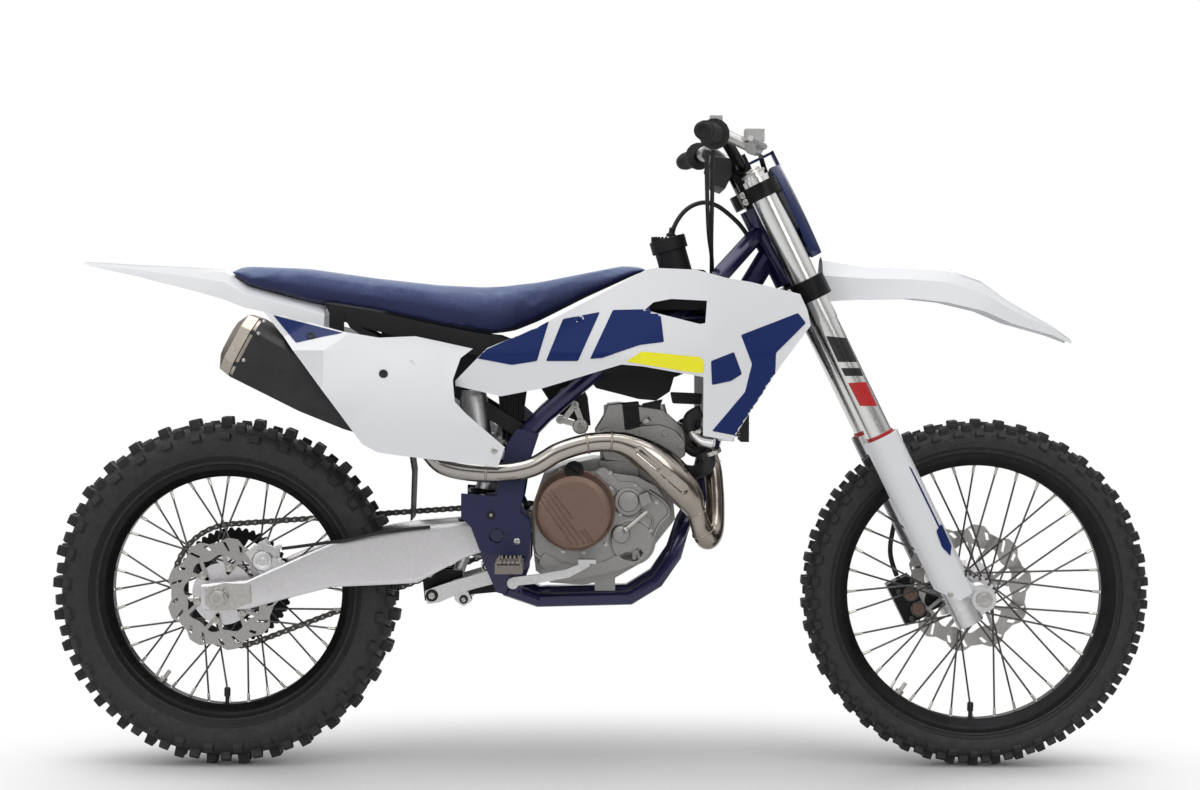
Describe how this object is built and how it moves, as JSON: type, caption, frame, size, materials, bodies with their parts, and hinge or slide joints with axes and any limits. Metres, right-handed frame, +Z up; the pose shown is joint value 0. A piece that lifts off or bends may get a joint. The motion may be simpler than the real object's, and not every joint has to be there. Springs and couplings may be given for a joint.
{
  "type": "motocross bike",
  "caption": "Motocross bike with wire wheels, knobbly tyres, long fork, open frame, single engine, side muffler, flat seat, high fenders and folding footpegs.",
  "frame": {"origin": "low point of the seat's top on the middle plane, where the rider sits", "axes": "+X forward along the bike, +Y to the rider's left, +Z up"},
  "size_m": [2.177, 0.8092, 1.2658],
  "materials": {
    "bare_alloy": "bare cast and machined",
    "black_metal": "black anodised",
    "black_plastic": "black, fine texture",
    "black_rubber": "black",
    "blue_plastic": "slate blue, fine texture",
    "bronze_cover": "bronze",
    "cast_grey": "grey cast",
    "dark_steel": "dark",
    "frame_paint": "dark blue metallic gloss",
    "header_steel": "heat tinted steel",
    "plate_plastic": "dark blue gloss, blank",
    "polished_tube": "polished silver",
    "satin_black_metal": "satin black",
    "seal_red": "red",
    "seat_cover": "steel blue ribbed cover",
    "steel": "brushed",
    "tyre_rubber": "black",
    "white_plastic": "white gloss"
  },
  "bodies": {
    "front_wheel": {"front_disc": "steel", "front_hub": "dark_steel", "front_rim": "black_metal", "front_tyre": "tyre_rubber"},
    "rear_wheel": {"rear_disc": "steel", "rear_hub": "dark_steel", "rear_rim": "black_metal", "rear_sprocket": "black_metal", "rear_tyre": "tyre_rubber"},
    "steering": {"bar_pad": "black_rubber", "brake_control": "bare_alloy", "clutch_control": "bare_alloy", "fork_guards": "white_plastic", "fork_legs": "polished_tube", "fork_tubes": "polished_tube", "front_axle": "steel", "front_brake_hose": "black_rubber", "front_caliper": "black_metal", "front_fender": "white_plastic", "grips": "black_rubber", "handlebar": "black_metal", "number_plate": "plate_plastic", "seal_rings": "seal_red", "triple_clamps": "black_metal"},
    "footpeg_right": {"footpeg_right": "dark_steel"},
    "footpeg_left": {"footpeg_left": "dark_steel"},
    "chassis": {"brake_pedal": "bare_alloy", "clutch_cover": "bronze_cover", "control_cables": "black_rubber", "crankcase": "cast_grey", "cylinder": "cast_grey", "drive_chain": "dark_steel", "exhaust_pipe": "header_steel", "footpeg_mounts": "dark_steel", "frame": "frame_paint", "frame_guards": "blue_plastic", "fuel_tank": "black_plastic", "ignition_cover": "bronze_cover", "muffler": "satin_black_metal", "muffler_end_cap": "steel", "radiators": "bare_alloy", "rear_axle": "steel", "rear_caliper": "black_metal", "rear_fender": "white_plastic", "rear_shock": "bare_alloy", "seat": "seat_cover", "shift_lever": "bare_alloy", "shock_linkage": "black_metal", "shock_spring": "black_metal", "shrouds": "white_plastic", "side_panels": "white_plastic", "subframe": "black_plastic", "swingarm": "bare_alloy", "tank_cap": "black_plastic", "throttle_body": "black_plastic", "vent_hose": "black_rubber"}
  },
  "joints": [
    {"name": "steering_turn", "type": "hinge", "parent": "chassis", "child": "steering", "pos_m": [0.57705, 0, 0.08764], "axis": [-0.4415, 0, 0.8973], "range_deg": [-42, 42], "deforming": ["control_cables"]},
    {"name": "front_wheel_spin", "type": "hinge", "parent": "steering", "child": "front_wheel", "pos_m": [0.985, 0, -0.601], "axis": [0, 1, 0], "continuous": true},
    {"name": "rear_wheel_spin", "type": "hinge", "parent": "chassis", "child": "rear_wheel", "pos_m": [-0.5, 0, -0.601], "axis": [0, 1, 0], "continuous": true},
    {"name": "footpeg_right_fold", "type": "hinge", "parent": "chassis", "child": "footpeg_right", "pos_m": [0.066, -0.128, -0.532], "axis": [-1, 0, 0], "range_deg": [0, 50], "stiffness_Nm_per_rad": 0.6, "springref_deg": -20.05},
    {"name": "footpeg_left_fold", "type": "hinge", "parent": "chassis", "child": "footpeg_left", "pos_m": [0.066, 0.128, -0.532], "axis": [1, 0, 0], "range_deg": [0, 50], "stiffness_Nm_per_rad": 0.6, "springref_deg": -20.05}
  ]
}
